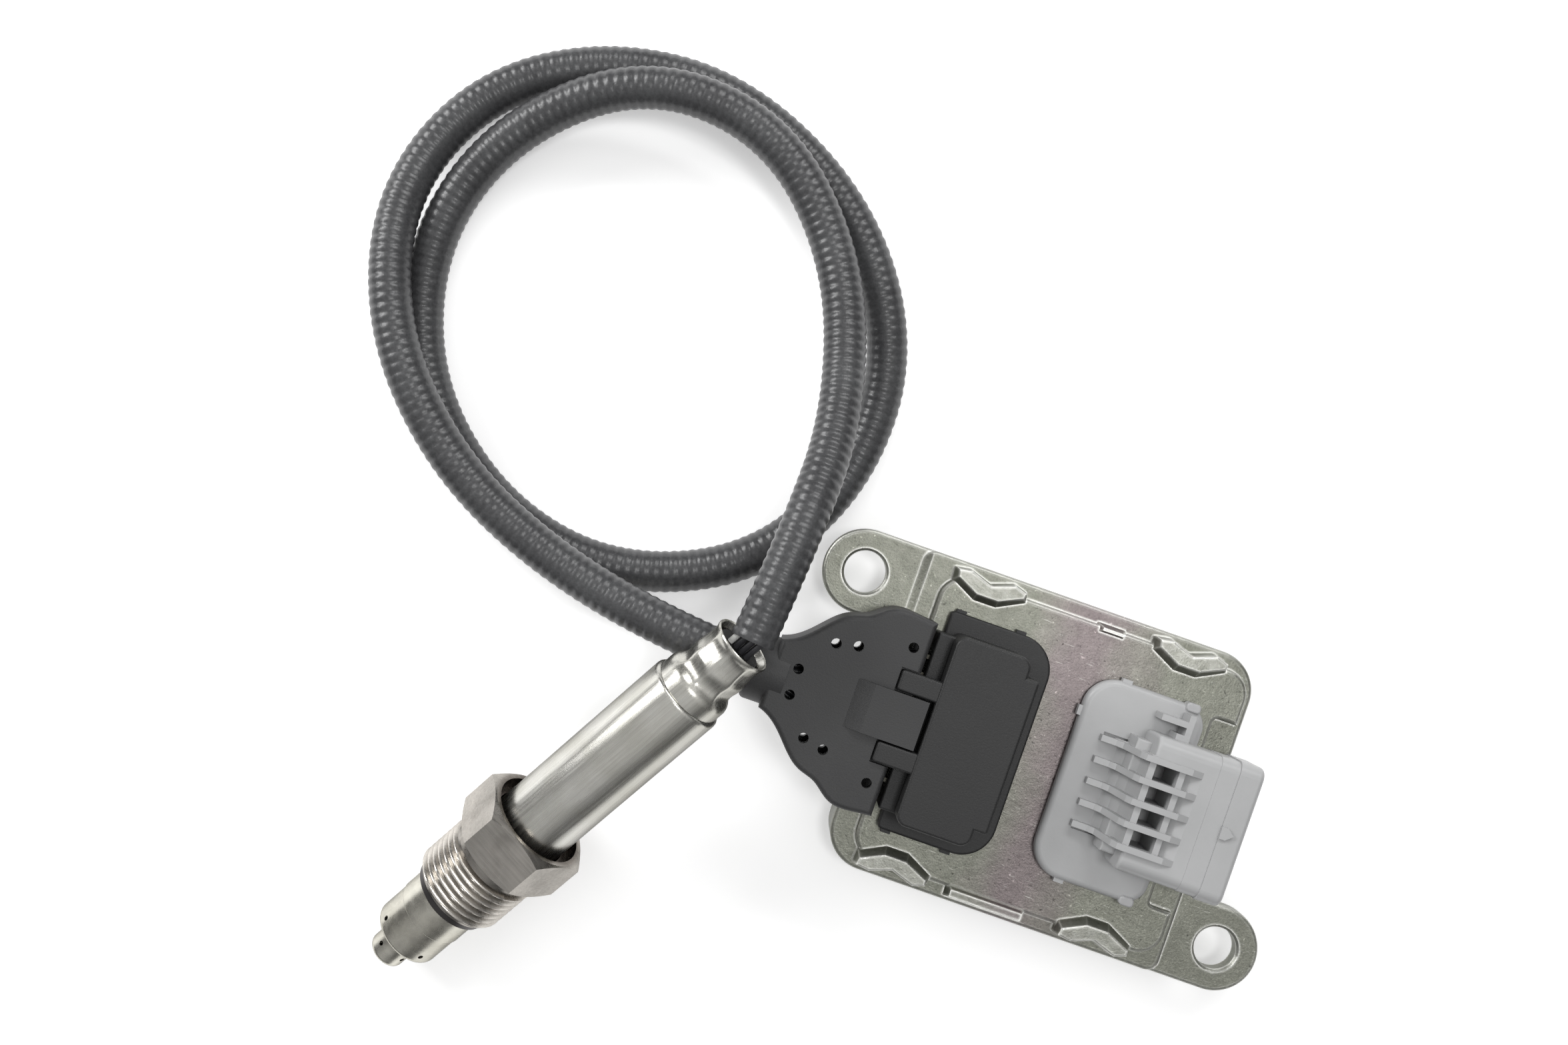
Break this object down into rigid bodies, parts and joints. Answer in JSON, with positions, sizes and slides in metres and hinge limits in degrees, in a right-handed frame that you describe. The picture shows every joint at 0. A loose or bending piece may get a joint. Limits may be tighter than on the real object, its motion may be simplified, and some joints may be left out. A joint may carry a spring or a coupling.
{
  "type": "nitrogen oxide sensor",
  "caption": "Exhaust gas sensor: threaded steel probe on an armoured hose to an eared die cast control unit with a side plug connector.",
  "frame": {"origin": "middle of the control unit's flat back face", "axes": "+Z out of the back face through the connectors, +X along the unit's long side towards the plug connector"},
  "size_m": [0.217, 0.1982, 0.0383],
  "materials": {
    "casting": "cast and tumbled, satin",
    "cover_sheet": "rolled, satin",
    "black_rubber": "moulded, matt",
    "board": "solder mask",
    "bright_steel": "bright",
    "chip_case": "moulded",
    "capacitor_case": "moulded",
    "black_plastic": "fine grained",
    "boot_plastic": "fine grained",
    "grey_plastic": "smooth moulded",
    "tinned_brass": "tin plated",
    "wire_skin": "smooth",
    "hose_armour": "ribbed, semi-gloss",
    "shield_steel": "drawn",
    "dark_steel": "annealed, dark",
    "turned_steel": "turned",
    "sleeve_steel": "brushed along its length",
    "white_ceramic": "fired, unglazed",
    "talc": "pressed powder"
  },
  "bodies": {
    "unit": {"front_housing": "casting", "back_cover": "cover_sheet", "cover_seal": "black_rubber", "circuit_board": "board", "board_screws": "bright_steel", "processor_chip": "chip_case", "driver_chips": "chip_case", "power_transistor": "chip_case", "supply_capacitors": "capacitor_case", "clock_crystal": "bright_steel", "outlet_gasket": "black_rubber", "plug_gasket": "black_rubber", "outlet_header": "black_plastic", "outlet_pins": "tinned_brass", "cable_boot": "boot_plastic", "boot_wires": "wire_skin", "plug_connector": "grey_plastic", "plug_pins": "tinned_brass", "hose": "hose_armour", "inner_shield": "shield_steel", "outer_shield": "shield_steel", "sealing_ring": "dark_steel", "probe_body": "bright_steel", "sensor_sleeve": "sleeve_steel", "sensing_element": "white_ceramic", "front_insulator": "white_ceramic", "talc_packing": "talc", "rear_insulator": "white_ceramic", "contact_holder": "white_ceramic", "contact_strips": "tinned_brass", "wire_grommet": "black_rubber", "lead_wires": "wire_skin"},
    "nut": {"swivel_nut": "turned_steel"}
  },
  "joints": [
    {"name": "nut_spin", "type": "hinge", "parent": "unit", "child": "nut", "pos_m": [-0.09836, -0.05742, 0.01277], "axis": [0.4731, 0.8396, 0.267], "continuous": true}
  ]
}
